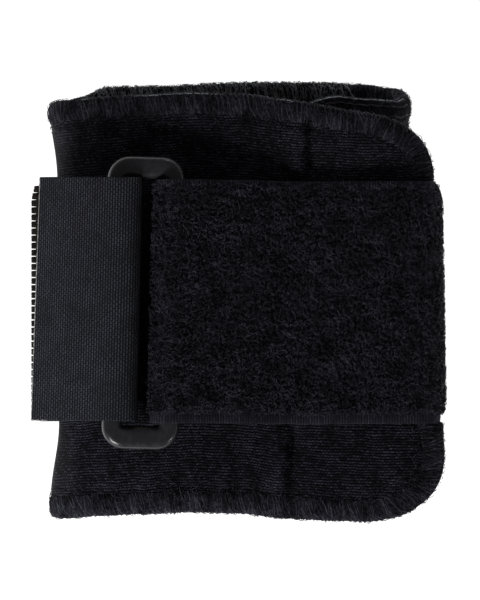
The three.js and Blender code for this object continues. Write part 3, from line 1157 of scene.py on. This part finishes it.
@dataclass
class OverlockEdge:
    """The overlocked thread edge all round the panel."""

    panel: Panel
    groups: Groups
    seed: int = 5
    roll_segments: tuple[int, int] = (256, 10)
    stitching: Stitches = Stitches()
    edge_fuzz: Fuzz = Fuzz(beside=(-2.6, 2.8), bend=0.5, bend_power=2, arch=(1.8, 3.0), radius=0.085)
    wall_fuzz: Fuzz = Fuzz(beside=(1.8, 4.0), bend=0.7, bend_power=1, arch=(2.0, 3.0), radius=0.07)
    edge_root: float = 0.1
    wall_root: float = 0.05
    hairs: int = 5000
    seam_hairs: int = 2000
    back_hairs: int = 1300
    bound_to: float = 26.0
    back_from: float = 43.0
    back_to: float = 98.0
    # Stretch of the front's upper rim, by x, where its thread is drawn pale: a painted highlight.
    painted_highlight_x: Span = (12.0, -31.0)
    flap_threads: RunningThreads = RunningThreads(
        "flap_running_threads", (-2.4, -1.8, -1.2, -0.6, 0.0, 0.6, 1.2, 1.8, 2.4), radius=0.22
    )
    # Rim threads of the flap and the front, drawn pale: a painted highlight along those rims.
    flap_rim: RunningThreads = RunningThreads("flap_rim_thread", (0.35,), radius=0.13, dip=0.05)
    front_rim: RunningThreads = RunningThreads("front_rim_thread", (0.55,), radius=0.12, dip=0.4)
    line: EdgeLine = field(init=False)

    def __post_init__(self) -> None:
        """Lays the line that everything here follows."""
        self.line = EdgeLine(self.panel)

    def build(self) -> list[Piece]:
        """Makes the roll, its stitches, its fuzz and the threads along it.

        Returns:
            The pieces, the roll first.
        """
        dice = np.random.default_rng(self.seed)
        # The numbers after the colours are fineness, roughness, bump and specular.
        core, yarn, wool, pale, painted_light_wool = (finish.material(self.groups) for finish in (
            Cloth("edge_core", (0.004, 0.004, 0.0054), (0.026, 0.026, 0.0345), 1600.0, 0.9, 0.3, 0.05),
            Cloth("edge_yarn", (0.006, 0.006, 0.008), (0.066, 0.066, 0.087), 1700.0, 0.6, 0.1, 0.1),
            Cloth("edge_wool", (0.012, 0.012, 0.016), (0.075, 0.075, 0.099), 2600.0, 0.7, 0.1, 0.05),
            # Pale thread for the rims of the flap and the front: a painted highlight.
            Cloth("rim_yarn_painted_highlight", (0.16, 0.17, 0.19), (0.52, 0.545, 0.6), 900.0, 0.6, 0.1, 0.1),
            # Paler copy of the edge wool for the back's upper rim and its fibres: painted light.
            Cloth("back_wool_painted_light", (0.09, 0.091, 0.097), (0.34, 0.345, 0.364), 2600.0, 0.7, 0.1, 0.05),
        ))
        line, under = self.line, self.stitching.thread
        back = (line.along_hem(self.back_to, True), line.along_hem(self.back_from, True))
        flap = (line.along_hem(self.bound_to, True), line.length + line.along_hem(self.bound_to, False))
        front = self.panel.run.length - self.panel.front_length
        start, end = (line.along_hem(self.panel.run.along_at_x(x, front), True) for x in self.painted_highlight_x)
        pieces = [
            self.roll(core),
            *self.wrapping(dice, yarn, painted_light_wool),
            self.fuzz("overlock_fuzz", dice, self.hairs, (0.0, line.length), wool),
            self.seam_fuzz(dice, wool),
            # The back rim's fibres take the paler wool, painted light.
            self.fuzz("back_rim_fuzz", dice, self.back_hairs, back, painted_light_wool),
            self.flap_threads.build(line, flap, under, yarn),
            self.flap_rim.build(line, flap, under, pale),
            self.front_rim.build(line, (start, end), under, pale),
        ]
        dress(pieces, "overlock_edge")
        return pieces

    def roll(self, material: Material) -> Piece:
        """Makes the padded core under the threads from a torus.

        Args:
            material: Its finish.

        Returns:
            The core.
        """
        major, minor = self.roll_segments
        ring, tube = 2.0, 1.0
        deselect()
        bpy.ops.mesh.primitive_torus_add(
            major_segments=major, minor_segments=minor, major_radius=ring, minor_radius=tube,
            generate_uvs=False,
        )
        bpy.ops.object.mode_set(mode="EDIT")
        bpy.ops.mesh.select_all(action="SELECT")
        bpy.ops.mesh.subdivide(number_cuts=1)
        bpy.ops.object.mode_set(mode="OBJECT")
        piece, points = named_primitive("overlock_roll")
        x, y, z = points.T
        around = (np.arctan2(y, x) / (2 * math.pi)) % 1 * self.line.length
        turn = np.arctan2(z, np.hypot(x, y) - ring)
        piece.data.vertices.foreach_set("co", self.line.at(around, turn, self.stitching.thread).ravel())
        bpy.ops.object.shade_smooth()
        piece.data.materials.append(material)
        return piece

    def wrapping(self, dice: np.random.Generator, material: Material, back_material: Material) -> list[Piece]:
        """Makes the threads that wrap the roll, except on the flap.

        Args:
            dice: Seeded random numbers.
            material: Their finish.
            back_material: Finish of those on the back's upper rim, a paler yarn that is painted light.

        Returns:
            Most of the threads, then those of the back's upper rim.
        """
        first, around, turn, radius = self.stitching.draw(dice, self.line.length)
        s, v = self.line.read(self.line.middle, first)
        back = (s > self.back_from) & (s < self.back_to) & (v > 0)
        rest = (s > self.bound_to) & ~back
        paths = self.line.at(around, turn, self.stitching.thread)
        # The back's upper rim takes the paler yarn, painted light.
        split = (("overlock_stitches", rest, material), ("back_rim_stitches", back, back_material))
        return [
            threads(name, paths[which], radius[which], self.stitching.sides, finish)
            for name, which, finish in split
        ]

    def fuzz(
        self, name: str, dice: np.random.Generator, count: int, reach: Span, material: Material
    ) -> Piece:
        """Makes loose fibres that stand off the threads.

        Args:
            name: Piece name.
            dice: Seeded random numbers.
            count: Number of fibres.
            reach: Where they start and end round the panel.
            material: Their finish.

        Returns:
            The joined fibres.
        """
        around, turn, curl, height = self.edge_fuzz.draw(dice, count, reach)
        paths = self.line.at(around, turn + curl, self.edge_root - height)
        return self.edge_fuzz.build(name, paths, material)

    def seam_fuzz(self, dice: np.random.Generator, material: Material) -> Piece:
        """Makes the loose fibres that lie on the wall along the inner side of the edge.

        Args:
            dice: Seeded random numbers.
            material: Their finish.

        Returns:
            The joined fibres.
        """
        reach = (0.0, self.line.length)
        around, inside, slide, height = self.wall_fuzz.draw(dice, self.seam_hairs, reach)
        paths = self.line.beside(around, slide - inside, NEOPRENE / 2 - self.wall_root + height)
        return self.wall_fuzz.build("seam_fuzz", paths, material)


@dataclass
class Strap:
    """A strap laid along its run, of one width and thickness."""

    frame: Frame
    groups: Groups
    run: Run
    curl_from: float = 20.5

    def bend(self, s: np.ndarray, v: np.ndarray, n: np.ndarray) -> np.ndarray:
        """Bends the flat strap.

        Args:
            s: Length along it.
            v: Place across it.
            n: Height above the middle of its thickness.

        Returns:
            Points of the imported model, in metres.
        """
        here = self.run.at(s)
        out = n - here["curl"] * smoothstep(np.abs(v), self.curl_from, STRAP_WIDTH / 2)
        x = here["x"] + here["nx"] * out + here["lean"] * v
        return self.frame.place(x, v + here["drift"], here["z"] + here["nz"] * out)

    def woven(
        self, name: str, step: float, rims: Span, rows: int, faces: tuple[Height, Height], finish: Cloth
    ) -> Piece:
        """Makes the woven tape of the strap.

        Args:
            name: Piece name.
            step: Spacing of its columns.
            rims: Distance of the first column from the end, and share of the half width inside the edge rows.
            rows: Number of rows between the edges.
            faces: Heights of its outer and inner face.
            finish: Its finish.

        Returns:
            The tape.
        """
        end, side = rims
        length = self.run.length
        inner = np.arange(0, length, step)[1:-1]
        along = np.concatenate([[0, end], inner, [length - end, length]])
        half = np.full(len(along), STRAP_WIDTH / 2)
        shares = np.concatenate([[-1], np.linspace(-side, side, rows), [1]])
        return band(name, along, (half, half), shares, faces, self.bend, finish.material(self.groups))


@dataclass
class LoopStrap(Strap):
    """The strap with loop pile outside."""

    seed: int = 11
    step: float = 0.9
    rims: Span = (0.12, 0.99)
    rows: int = 45
    ground: float = 1.1
    selvage: float = 2.0
    selvage_rise: float = 0.5
    selvage_slope: float = 0.3
    overlap: float = 1.3
    rib_pitch: float = 0.57
    pile_height: float = 1.3
    height_spread: Span = (0.45, 1.15)
    fibre: float = 0.08
    fibre_spread: Span = (0.7, 1.2)
    fibre_length: Span = (1.0, 2.6)
    fibre_taper: tuple[float, ...] = (0.7, 1.0, 1.0, 0.7)
    fibre_sides: int = 3
    swing: float = 2.2
    root: float = 0.15
    arch: Span = (0.06, 0.94)
    arch_fullness: float = 0.7
    pile_start: float = 22.0
    front_start: float = 48.0
    front_end_x: float = 34.0
    side_length: float = 16.0
    low_side_length: float = 20.0
    stretches: tuple[tuple[str, int], ...] = (
        ("loop_pile_ring_end", 7600),
        ("loop_pile_front", 5400),
        ("loop_pile_front_right", 5400),
        ("loop_pile_side", 4600),
        ("loop_pile_side_low", 1700),
        ("loop_pile_back", 900),
    )

    def build(self) -> list[Piece]:
        """Makes the woven ground and the pile on it.

        Returns:
            The pieces, the ground first.
        """
        woven = Cloth(
            "pile_ground", (0.02, 0.0195, 0.026), (0.065, 0.063, 0.084), fineness=1500.0, roughness=0.9,
            bump=0.08, specular=0.05, row=self.rib_pitch, stitch=1.1, gaps=0.4, drift=0.3, turned=True,
            margin=STRAP_WIDTH / 2 - self.selvage,
        )
        pile = Cloth(
            "loop_pile", (0.013, 0.0126, 0.0173), (0.067, 0.0643, 0.0875), fineness=900.0, roughness=0.5,
            bump=0.05, specular=0.1,
        )
        faces = (self.outer, lambda s, v: 0 * s - LOOP_THICKNESS / 2)
        ground = self.woven("loop_strap_ground", self.step, self.rims, self.rows, faces, woven)
        pieces = [ground, *self.pile(pile.material(self.groups))]
        dress(pieces, "loop_strap")
        return pieces

    def outer(self, s: np.ndarray, v: np.ndarray) -> np.ndarray:
        """Shapes the ground's outer face, with its raised selvages.

        Args:
            s: Length along the strap.
            v: Place across it.

        Returns:
            Height above the middle of the strap.
        """
        inner = STRAP_WIDTH / 2 - self.selvage
        edge = smoothstep(np.abs(v), inner - self.selvage_slope, inner)
        return self.ground - LOOP_THICKNESS / 2 + edge * self.selvage_rise

    def pile(self, material: Material) -> list[Piece]:
        """Makes the curled pile fibres.

        Args:
            material: Their finish.

        Returns:
            A few pieces, one after the other along the strap.
        """
        dice = np.random.default_rng(self.seed)
        front_end = self.run.along_at_x(self.front_end_x, self.front_start)
        middle = (self.front_start + front_end) / 2
        side_end = front_end + self.side_length
        low_end = side_end + self.low_side_length
        bounds = (self.pile_start, self.front_start, middle, front_end, side_end, low_end, self.run.length)
        spans = zip(bounds, bounds[1:])
        return [
            self.stretch(name, dice, span, count, material)
            for (name, count), span in zip(self.stretches, spans)
        ]

    def stretch(
        self, name: str, dice: np.random.Generator, span: Span, count: int, material: Material
    ) -> Piece:
        """Makes the pile on one stretch of the strap.

        Args:
            name: Piece name.
            dice: Seeded random numbers.
            span: Start and end of the stretch.
            count: Number of fibres.
            material: Their finish.

        Returns:
            The joined fibres.
        """
        taper = np.array(self.fibre_taper)
        points, each = len(taper), (count, 1)
        steps = np.linspace(0, 1, points)
        inner = STRAP_WIDTH / 2 - self.selvage
        s = dice.uniform(*span, each)
        v = dice.uniform(-inner, inner + self.overlap, each)
        heading = dice.uniform(0, 2 * math.pi, each)
        angle = heading + dice.normal(0, self.swing, each) * (steps - 0.5)
        length = dice.uniform(*self.fibre_length, each)
        ds, dv = (np.cumsum(part, axis=1) * length / points for part in (np.cos(angle), np.sin(angle)))
        height = self.pile_height * dice.uniform(*self.height_spread, each)
        lift = np.sin(math.pi * np.linspace(*self.arch, points)) ** self.arch_fullness
        out = self.ground - LOOP_THICKNESS / 2 - self.root + height * lift
        paths = self.bend(s + ds - ds.mean(1, keepdims=True), v + dv - dv.mean(1, keepdims=True), out)
        radius = self.fibre * dice.uniform(*self.fibre_spread, each) * taper
        return threads(name, paths, radius, self.fibre_sides, material)


@dataclass
class HookStrap(Strap):
    """The hook strap, ribbed on its plain face and hooked on the other."""

    tape: float = 0.95
    rims: Span = (0.06, 0.992)
    rows: int = 15
    rib_pitch: float = 0.517
    rib_steps: int = 4
    rib_depth: float = 0.06
    hook_start: float = 22.0
    hook_end: float = 1.0
    hook_margins: Span = (1.2, 1.0)
    hook_row: float = 1.47
    hook_step: float = 2.4
    fold: Span = (31.0, 53.0)
    fold_step: float = 0.85
    hook_height: float = 0.65
    hook_root: float = 0.1
    hook_rise: tuple[float, ...] = (0.0, 0.75, 1.0, 0.8)
    hook_lean: tuple[float, ...] = (0.0, 0.05, 0.35, 0.6)
    hook_taper: tuple[float, ...] = (1.1, 1.0, 0.95, 0.7)
    hook_wire: float = 0.44
    hook_pair: float = 0.31
    hook_sides: int = 4
    cut_radius: float = 0.2
    cut_height: float = 0.2
    cut_inset: float = 0.05
    cut_return: float = 3.5
    cut_steps: tuple[int, int] = (12, 90)
    cut_unevenness: float = 0.25
    cut_rates: Span = (2.1, 0.37)
    cut_sides: int = 5

    def build(self) -> list[Piece]:
        """Makes the tape, its hooks and its cut end.

        Returns:
            The pieces, the tape first.
        """
        woven = Cloth(
            "hook_tape", (0.01, 0.0105, 0.014), (0.145, 0.149, 0.182), fineness=2600.0, roughness=0.6,
            bump=0.08, specular=0.1, row=self.rib_pitch, stitch=0.89, gaps=0.9, drift=0.1, patches=0.35,
            turned=True,
        )
        hooks = Cloth(
            "hook_wire", (0.008, 0.0074, 0.006), (0.024, 0.021, 0.017), fineness=900.0, roughness=0.8,
            bump=0.02, specular=0.05,
        )
        cut_edge_finish = Cloth(
            "pale_cut_edge", (0.2, 0.195, 0.19), (0.6, 0.59, 0.58), fineness=1500.0, roughness=0.6,
            bump=0.1, specular=0.1,
        )
        faces = (lambda s, v: 0 * s - HOOK_THICKNESS / 2 + self.tape, self.ribbed)
        step = self.rib_pitch / self.rib_steps
        tape = self.woven("hook_strap_tape", step, self.rims, self.rows, faces, woven)
        pieces = [
            tape, self.hooks(hooks.material(self.groups)), self.pale_cut_end(cut_edge_finish.material(self.groups))
        ]
        dress(pieces, "hook_strap")
        return pieces

    def ribbed(self, s: np.ndarray, v: np.ndarray) -> np.ndarray:
        """Returns the height of the plain face, with ribs across the strap."""
        rib = np.abs(np.sin(math.pi * s / self.rib_pitch))
        return -HOOK_THICKNESS / 2 + self.rib_depth * (1 - rib)

    def hooks(self, material: Material) -> Piece:
        """Makes the rows of small hooks on the outer face.

        Args:
            material: Their finish.

        Returns:
            The joined hooks.
        """
        low_margin, high_margin = self.hook_margins
        rows = np.arange(low_margin - STRAP_WIDTH / 2, STRAP_WIDTH / 2 - high_margin, self.hook_row)
        low, high = self.fold
        steps = np.concatenate([
            np.arange(self.hook_start, low, self.hook_step),
            np.arange(low, high, self.fold_step),
            np.arange(high, self.run.length - self.hook_end, self.hook_step),
        ])
        s, v, pair = (grid.reshape(-1, 1) for grid in np.meshgrid(steps, rows, [-1, 1]))
        rise, lean, taper = (np.array(row) for row in (self.hook_rise, self.hook_lean, self.hook_taper))
        base = self.tape - HOOK_THICKNESS / 2 - self.hook_root
        out = base + (self.hook_height + self.hook_root) * rise
        paths = self.bend(s + pair * lean, v + pair * self.hook_pair + 0 * rise, out)
        return threads("hook_field", paths, self.hook_wire * taper, self.hook_sides, material, math.pi / 4)

    def pale_cut_end(self, material: Material) -> Piece:
        """Makes the pale cut along the tab's end and round its lower corner.

        Args:
            material: Its finish.

        Returns:
            The cut edge.
        """
        edge, end = STRAP_WIDTH / 2 - self.cut_inset, self.run.length
        low, across = self.cut_steps
        s = np.concatenate([np.linspace(end - self.cut_return, end, low), np.full(across, end)])
        v = np.concatenate([np.full(low, -edge), np.linspace(-edge, edge, across + 1)[1:]])
        wave = 1 + self.cut_unevenness * uneven_wave(np.arange(len(s)), *self.cut_rates)
        path = self.bend(s, v, np.full(len(s), self.cut_height - HOOK_THICKNESS / 2))
        return threads("tab_cut_edge", path[None], self.cut_radius * wave, self.cut_sides, material)


@dataclass
class SlottedRing:
    """The moulded ring with one long slot."""

    frame: Frame
    groups: Groups
    length: float = 60.2
    width: float = 15.8
    thickness: float = 3.2
    bar: float = 4.1
    end: float = 4.6
    low_end: float = 4.9
    outer_radius: float = 4.6
    outer_segments: int = 10
    rounding: float = 1.5
    rounding_segments: int = 5
    sharp_deg: float = 50.0
    smooth_deg: float = 40.0
    upright: float = 0.9

    def build(self) -> Piece:
        """Makes the ring from a box: round corners, an inset slot bridged through, round edges.

        Returns:
            The ring.
        """
        size = (self.width * MM, self.length * MM, self.thickness * MM)
        deselect()
        bpy.ops.mesh.primitive_cube_add(size=1, scale=size)
        bpy.ops.object.transform_apply(location=False, rotation=False, scale=True)
        piece, points = named_primitive("slotted_ring")
        heights = points[:, 2]
        self.pick("EDGE", piece.data.edges, lambda edge: np.ptp(heights[list(edge.vertices)]) > 0)
        bpy.ops.mesh.bevel(offset=self.outer_radius * MM, segments=self.outer_segments, affect="EDGES")
        bpy.ops.object.mode_set(mode="OBJECT")
        self.pick("FACE", piece.data.polygons, lambda face: abs(face.normal.z) > self.upright)
        bpy.ops.mesh.inset(thickness=self.bar * MM)
        stretch = (self.length - self.end - self.low_end) / (self.length - 2 * self.bar)
        bpy.ops.transform.resize(value=(1, stretch, 1))
        bpy.ops.transform.translate(value=(0, (self.low_end - self.end) / 2 * MM, 0))
        bpy.ops.mesh.bridge_edge_loops()
        bpy.ops.object.mode_set(mode="OBJECT")
        self.round_edges(piece)
        bpy.ops.object.shade_smooth_by_angle(angle=math.radians(self.smooth_deg))
        piece.data.materials.append(MouldedPlastic().material(self.groups))
        dress([piece], "ring")
        return piece

    @staticmethod
    def pick(kind: str, items: Sequence, chosen: Callable) -> None:
        """Selects some edges or faces, and stays in edit mode.

        Args:
            kind: EDGE or FACE.
            items: All edges or faces of the piece.
            chosen: Tells which are selected.
        """
        bpy.ops.object.mode_set(mode="EDIT")
        bpy.ops.mesh.select_mode(type=kind)
        bpy.ops.mesh.select_all(action="DESELECT")
        bpy.ops.object.mode_set(mode="OBJECT")
        for item in items:
            item.select = bool(chosen(item))
        bpy.ops.object.mode_set(mode="EDIT")

    def round_edges(self, piece: Piece) -> None:
        """Rounds every sharp edge and lays the ring in its place.

        Args:
            piece: The ring.
        """
        bevel = piece.modifiers.new("rounding", "BEVEL")
        bevel.width = self.rounding * MM
        bevel.segments = self.rounding_segments
        bevel.limit_method = "ANGLE"
        bevel.angle_limit = math.radians(self.sharp_deg)
        bpy.ops.object.modifier_apply(modifier=bevel.name)
        piece.rotation_euler.z = -math.radians(RING_LEAN_DEG)
        piece.location = self.frame.place(RING_X, RING_Y, RING_Z)
        bpy.ops.object.transform_apply(location=True, rotation=True, scale=False)


@dataclass(frozen=True)
class Lamp:
    """A square soft light that faces the support, in metres and watts."""

    name: str
    place: tuple[float, float, float]
    size: float
    power: float

    def build(self) -> None:
        """Adds the light."""
        bpy.ops.object.light_add(type="AREA", location=self.place)
        lamp = bpy.context.object
        lamp.name = self.name
        lamp.data.size = self.size
        lamp.data.energy = self.power
        x, y, z = self.place
        lamp.rotation_euler = (math.atan2(math.hypot(x, y), z), 0, math.atan2(y, x) + math.pi / 2)


@dataclass
class Studio:
    """Pale floor, soft light and the camera."""

    frame: Frame
    distance: float = 1.2
    aim: tuple[float, float, float] = (0.1, 0.2, 28.0)
    frame_pixels: int = 600
    pixels_per_mm: float = 4.86
    sensor: float = 36.0
    floor_size: float = 6.0
    floor_colour: Colour = (0.5, 0.5, 0.5)
    floor_roughness: float = 0.9
    glow: float = 1.0
    overhead: float = 0.1
    walls: float = 0.15
    wall_falloff: float = 3.0
    lamps: tuple[Lamp, ...] = (
        Lamp("key", (-0.27, -0.38, 0.29), 0.16, 1.6),
        Lamp("fill", (0.6, -0.6, 0.42), 0.12, 0.7),
        Lamp("rim", (0.25, 1.0, 0.25), 0.15, 0.4),
    )

    def build(self) -> None:
        """Makes the floor, the lights and the camera."""
        self.floor()
        for lamp in self.lamps:
            lamp.build()
        self.room()
        bpy.context.scene.view_settings.view_transform = "Standard"
        self.camera()

    def room(self) -> None:
        """Makes the room's light, dim overhead and brighter towards its walls."""
        world = bpy.data.worlds.new("soft_room")
        world.use_nodes = True
        graph = Graph(world.node_tree)
        where = graph.add("ShaderNodeTexCoord")
        height = graph.add("ShaderNodeSeparateXYZ", {0: where.outputs["Generated"]}).outputs[2]
        level = graph.math("SUBTRACT", 1.0, graph.math("ABSOLUTE", height))
        low = graph.math("POWER", level, self.wall_falloff)
        strength = graph.math("MULTIPLY_ADD", low, self.walls, self.overhead)
        sky = graph.add("ShaderNodeBackground", {"Color": (1, 1, 1, 1), "Strength": strength})
        graph.add("ShaderNodeOutputWorld", {"Surface": sky.outputs[0]})
        bpy.context.scene.world = world

    def floor(self) -> None:
        """Makes the pale floor, which glows a little, as a light table does."""
        deselect()
        bpy.ops.mesh.primitive_plane_add(size=self.floor_size)
        floor = bpy.context.object
        floor.name = "floor"
        material = bpy.data.materials.new("pale_floor")
        material.use_nodes = True
        shader = material.node_tree.nodes["Principled BSDF"]
        shader.inputs["Base Color"].default_value = (*self.floor_colour, 1)
        shader.inputs["Roughness"].default_value = self.floor_roughness
        shader.inputs["Emission Color"].default_value = (1, 1, 1, 1)
        shader.inputs["Emission Strength"].default_value = self.glow
        floor.data.materials.append(material)

    def camera(self) -> None:
        """Adds the camera, straight above the strap."""
        x, y, z = self.frame.place(*self.aim)
        bpy.ops.object.camera_add(location=(x, y, z + self.distance), rotation=(0, 0, 0))
        camera = bpy.context.object
        camera.data.sensor_width = self.sensor
        height = self.frame_pixels / self.pixels_per_mm * MM
        camera.data.lens = self.sensor * self.distance / height
        bpy.context.scene.camera = camera


def report(pieces: Sequence[Piece]) -> None:
    """Logs each piece with its number of triangles.

    Args:
        pieces: The pieces.
    """
    for piece in pieces:
        triangles = sum(len(face.vertices) - 2 for face in piece.data.polygons)
        LOG.info("%s: %d triangles", piece.name, triangles)


def main() -> None:
    """Builds the support round its frame, then the studio."""
    logging.basicConfig(level=logging.INFO, format="%(name)s %(message)s")
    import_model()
    groups = Groups()
    frame = Frame.read()
    panel = Panel(frame, groups)
    wall = panel.build()
    edge = OverlockEdge(panel, groups).build()
    loop = LoopStrap(frame, groups, Run(LOOP_SECTIONS, ("drift", "lean", "curl")))
    hook = HookStrap(frame, groups, Run(HOOK_SECTIONS, ("drift", "lean", "curl")))
    loop_pieces, hook_pieces = loop.build(), hook.build()
    ring = SlottedRing(frame, groups).build()
    report([wall, *edge, *loop_pieces, *hook_pieces, ring])
    Studio(frame).build()


if __name__ == "__main__":
    main()
